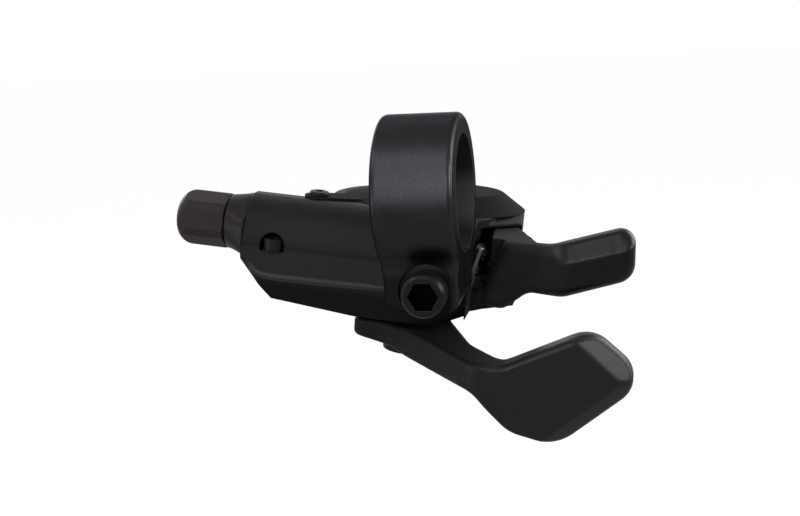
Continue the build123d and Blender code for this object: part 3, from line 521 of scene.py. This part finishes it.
# %% [markdown]
# The clamp bolt is the same black steel, and its hex socket is deep: hardly any light comes back out
# of it. Soft lamps would still reach its floor, so a mask paints shade on what lies within the
# socket's radius of the bolt's axis and deeper than the face of its head. The axis is read from the
# bolt's own box, so the mask follows the bolt if its size changes.

# %% Clamp bolt
SOCKET_R, SOCKET_DEPTH = (0.0029, 0.0030), (0.0001, 0.0003)
SOCKET_PAINTED_SHADE = (0.0012, 0.0012, 0.0012)

bolt = metal(
    "bolt_steel",
    dark=(0.0030, 0.0030, 0.0030),
    light=(0.0055, 0.0055, 0.0056),
    rough=0.24,
    grain=2400.0,
    metallic=0.0,
    gloss=0.10,
)
bolt_low, bolt_high = (Vector(corner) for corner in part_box("clamp_bolt"))
axis = (bolt_low + bolt_high) / 2
along, deep, high = bolt.axes()
off_x, off_z = along - axis.x, high - axis.z
from_axis = (off_x * off_x + off_z * off_z) ** 0.5
sunk = bolt.ramp(deep - bolt_low.y, *SOCKET_DEPTH)
within = (1 - bolt.ramp(from_axis, *SOCKET_R)) * sunk
# Painted shade: within the socket the colour is made nearly black.
bolt.set(Base_Color=bolt.tint(within, bolt.colour, SOCKET_PAINTED_SHADE), Metallic=within)
give(bolt, "clamp_bolt")

# %% [markdown]
# Both levers end in pads that fingers have to find by touch, so their moulds are finished by hand:
# the release pad rolls away along its upper rim, and the bevels of the thumb pad run into each other
# softly. The solids keep these as plain edges. A bevel could round them, but its edges would stay as
# lines. Here a copy of each lever gets an even mesh, its rim is pushed back with a soft falloff, as a
# sculptor would, and a few rounds of smoothing ease the rest.

# %% Tools for soft pads
WELD = 1e-6
SMOOTH_ANGLE = math.radians(40)
SMOOTH_FACTOR = 0.5


def pick(piece):
    """Selects a piece on its own."""
    bpy.ops.object.select_all(action="DESELECT")
    piece.select_set(True)
    bpy.context.view_layer.objects.active = piece


def even_copy(node, name, voxel):
    """A copy of a CAD node with an even mesh, selected on its own."""
    twin = bpy.data.objects.new(name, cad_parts[node].data.copy())
    twin.data.name = name
    bpy.context.scene.collection.objects.link(twin)
    pick(twin)
    bpy.ops.object.mode_set(mode="EDIT")
    bpy.ops.mesh.select_all(action="SELECT")
    bpy.ops.mesh.remove_doubles(threshold=WELD)
    bpy.ops.object.mode_set(mode="OBJECT")
    even = twin.modifiers.new("even", "REMESH")
    even.mode, even.voxel_size = "VOXEL", voxel
    bpy.ops.object.modifier_apply(modifier="even")
    return twin


def push(piece, chosen, shift, falloff):
    """Moves the chosen points, and those near them by less."""
    bpy.ops.object.mode_set(mode="EDIT")
    bpy.ops.mesh.select_mode(type="VERT")
    bpy.ops.mesh.select_all(action="DESELECT")
    bpy.ops.object.mode_set(mode="OBJECT")
    for point in piece.data.vertices:
        point.select = chosen(point.co)
    bpy.ops.object.mode_set(mode="EDIT")
    bpy.ops.transform.translate(
        value=shift,
        use_proportional_edit=True,
        use_proportional_connected=True,
        proportional_edit_falloff="SMOOTH",
        proportional_size=falloff,
    )
    bpy.ops.object.mode_set(mode="OBJECT")


def ease(piece, start, full, rear, rounds):
    """Smooths a pad in front of rear: not at all before start, and wholly past full, along X."""
    pad = piece.vertex_groups.new(name="pad")
    for point in piece.data.vertices:
        share = min((point.co.x - start) / (full - start), 1.0)
        if share > 0 and point.co.y < rear:
            pad.add([point.index], share, "REPLACE")
    soft = piece.modifiers.new("soft", "SMOOTH")
    soft.factor, soft.iterations, soft.vertex_group = SMOOTH_FACTOR, rounds, pad.name
    bpy.ops.object.modifier_apply(modifier="soft")
    bpy.ops.object.shade_smooth_by_angle(angle=SMOOTH_ANGLE)


print("points closer than", WELD, "m are welded before a mesh is made even")

# %% [markdown]
# The release pad leans along the bar, so its upper rim and its front are both sloping lines. Points
# near the rim and near the front are chosen, and pushed away from the rider and a little down. The
# mesh could be cut along the rim first, but with a falloff twice as wide as the shift no cut shows.

# %% Rolled release pad
PAD_X, PAD_FROM = 0.024, 0.025
RIM_Z, RIM_SLOPE, RIM_BAND = -0.0129, 0.183, 0.0010
FRONT_Y, FRONT_SLOPE, FRONT_BAND = 0.0115, 0.117, 0.0018


def on_rim(at):
    """Whether a point lies on the front of the pad's upper rim."""
    rim = RIM_Z + (at.x - PAD_X) * RIM_SLOPE
    front = FRONT_Y + (at.x - PAD_X) * FRONT_SLOPE
    return at.x > PAD_FROM and at.z > rim - RIM_BAND and at.y < front + FRONT_BAND


rolled = even_copy("release_lever", "release_lever_rolled", voxel=0.00025)
push(rolled, on_rim, shift=(0.0, 0.0016, -0.0002), falloff=0.0034)
ease(rolled, start=0.020, full=0.026, rear=0.020, rounds=8)
dress(rolled, trigger)
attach(rolled, "release")
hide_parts("release_lever")
print("release pad:", len(rolled.data.polygons), "faces")

# %% [markdown]
# The thumb pad keeps its shape, and only its bevels are eased. The smoothing grows from nothing on
# the arm to its full strength on the pad, so that the hub keeps its crisp edges.

# %% Rounded thumb pad
rounded = even_copy("thumb_lever", "thumb_lever_rounded", voxel=0.0003)
ease(rounded, start=0.012, full=0.028, rear=0.008, rounds=30)
dress(rounded, grip)
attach(rounded, "thumb")
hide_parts("thumb_lever")
print("thumb pad:", len(rounded.data.polygons), "faces")

# %% [markdown]
# Under the near panel the housing's mould has a rolled lip, which stiffens the edge and catches the
# light as a soft line. It could be an edge of the solid with a larger round, but it stands a third of
# a millimetre proud, so it is a bead: a smooth curve along the edge, given a round section and made a
# mesh. Its ends taper into the wall. Its nylon is lighter than the panel's: a painted highlight.

# %% Lip under the near panel
MM = 0.001
LIP_R, LIP_END = 0.0009, 0.3
LIP_SIDES, LIP_STEPS, LIP_ORDER = 5, 8, 3
LIP_LINE_MM = (
    (-40.3, 11.55, -14.6),
    (-39.4, 11.20, -16.2),
    (-38.2, 10.95, -17.4),
    (-35.8, 10.90, -18.2),
    (-31.1, 10.90, -18.8),
    (-23.8, 10.92, -19.7),
    (-17.5, 10.94, -20.4),
    (-12.5, 10.98, -20.95),
    (-9.2, 11.05, -21.3),
)
line = bpy.data.curves.new("housing_lip", "CURVE")
line.dimensions = "3D"
line.bevel_depth, line.bevel_resolution, line.resolution_u = LIP_R, LIP_SIDES, LIP_STEPS
line.use_fill_caps = True
run = line.splines.new("NURBS")
run.points.add(len(LIP_LINE_MM) - 1)
for point, spot in zip(run.points, LIP_LINE_MM):
    point.co = (*(length * MM for length in spot), 1.0)
run.points[0].radius = run.points[-1].radius = LIP_END
run.use_endpoint_u, run.order_u = True, LIP_ORDER
lip = bpy.data.objects.new("housing_lip", line)
bpy.context.scene.collection.objects.link(lip)
pick(lip)
bpy.ops.object.convert(target="MESH")
lip = bpy.context.object
bpy.ops.object.shade_smooth_by_angle(angle=SMOOTH_ANGLE)

# Painted highlight: the lip's nylon is lighter than the panel's.
lip_highlight = moulding(
    "lip_plastic",
    dark=(0.0135, 0.0138, 0.0150),
    light=(0.0185, 0.0189, 0.0204),
    grain=2600.0,
    gloss=0.11,
    edge=0.0003,
)
lip_highlight.set(Roughness=grained(lip_highlight, 0.38))
dress(lip, lip_highlight)
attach(lip, "frame")
print("lip:", len(lip.data.polygons), "faces")

# %% [markdown]
# A studio's white paper has no edge. A curved backdrop could be modelled, but a white surround does
# the same from every side. It is white to the camera and to reflections, and dim to diffuse light,
# so that the lamps do the modelling.

# %% Surround
SKY_WHITE, SKY_DIM = (1, 1, 1, 1), 0.18

world = bpy.data.worlds.new("surround")
bpy.context.scene.world = world
world.use_nodes = True
sky = Tree(world.node_tree)
camera_ray, glossy_ray, glass_ray = sky.rays()
seen = sky.ramp(camera_ray + glossy_ray + glass_ray, 0.0, 1.0)
backdrop = sky.nodes["Background"]
sky.join(SKY_WHITE, backdrop.inputs["Color"])
sky.join(SKY_DIM + seen * (1 - SKY_DIM), backdrop.inputs["Strength"])
print("surround: white where seen,", SKY_DIM, "to diffuse light")

# %% [markdown]
# The shifter hangs on a bar, so nothing stands on the floor: it lies well below and catches the
# shadow. A plain pale floor under these small lamps would look grey beside the white surround, so
# most of what the camera sees of it is a glow of the same white, and the rest is the lit floor,
# which keeps the shadow. Reflections see a little of the glow.

# %% Floor
FLOOR_Z, FLOOR_SIZE = -0.16, 6.0
FLOOR_PALE, FLOOR_ROUGH, FLOOR_GLOSS = (0.42, 0.42, 0.42, 1.0), 0.9, 0.1
FLOOR_GLOW, FLOOR_GLEAM, GLOW_LEVEL = 0.9, 0.12, 1.09

bpy.ops.object.select_all(action="DESELECT")
bpy.ops.mesh.primitive_plane_add(size=FLOOR_SIZE, location=(0, 0, FLOOR_Z))
floor = bpy.context.object
floor.name = "floor"
ground = Finish("floor")
ground.set(Base_Color=FLOOR_PALE, Roughness=FLOOR_ROUGH, Specular_IOR_Level=FLOOR_GLOSS)
camera_ray, glossy_ray, glass_ray = ground.rays()
shown = camera_ray * FLOOR_GLOW + (glossy_ray + glass_ray) * FLOOR_GLEAM
lit = Wire(ground, ground.shader.outputs["BSDF"])
glow = ground.node("ShaderNodeEmission", {}, {"Strength": GLOW_LEVEL})
blend = ground.node("ShaderNodeMixShader", {}, {"Fac": shown, 1: lit, 2: glow})
ground.join(blend, ground.nodes["Material Output"].inputs["Surface"])
dress(floor, ground)
print("floor at", FLOOR_Z)

# %% [markdown]
# A black object is lit by what it reflects, so each lamp is a soft box that stands where some face
# mirrors it to the camera. The front box draws the bright band across the ring, and the top box
# lights the deck. The boxes at the right draw the rims of the ring and the levers, those at the left
# the knob and the neck, and the near one the release pad. Those behind keep the far side from going
# black. One bright dome would be simpler, but it would turn black plastic grey all over.


# %% Lamps
def softbox(name, place, aim, width, height, watts):
    lamp = bpy.data.lights.new(name, "AREA")
    lamp.shape = "RECTANGLE"
    lamp.size, lamp.size_y = width, height
    lamp.energy = watts
    box = bpy.data.objects.new(name, lamp)
    box.location = place
    box.rotation_mode = "QUATERNION"
    box.rotation_quaternion = (Vector(aim) - Vector(place)).to_track_quat("-Z", "Y")
    bpy.context.scene.collection.objects.link(box)


# Each row: name, place, aim, width, height and watts.
LAMPS = (
    ("front_box", (-0.083, -0.558, 0.205), (0, 0, 0), 0.32, 0.54, 1.65),
    ("top_box", (-0.067, -0.329, 0.497), (0, 0, 0), 0.32, 0.24, 0.78),
    ("right_box", (0.54, -0.186, 0.192), (0, 0, -0.02), 0.20, 0.20, 2.1),
    ("rim_box", (0.528, 0.168, 0.21), (0, 0, 0), 0.10, 0.45, 3.0),
    ("left_box", (-0.516, -0.33, -0.03), (-0.04, 0.01, -0.01), 0.16, 0.16, 0.8),
    ("left_top_box", (-0.41, -0.15, 0.41), (-0.02, 0, -0.01), 0.20, 0.20, 0.9),
    ("back_left_box", (-0.44, 0.42, 0.16), (0, 0.01, -0.01), 0.30, 0.30, 2.0),
    ("back_right_box", (0.44, 0.46, 0.24), (0, 0.01, -0.01), 0.30, 0.30, 2.0),
    ("back_box", (-0.12, 0.40, 0.43), (0, 0.01, -0.01), 0.30, 0.20, 0.35),
    ("near_box", (0.06, -0.56, 0.21), (0.03, 0.012, -0.013), 0.10, 0.10, 0.5),
)
for row in LAMPS:
    softbox(*row)
print("lamps:", len(LAMPS), "with", round(sum(row[-1] for row in LAMPS), 2), "watts")
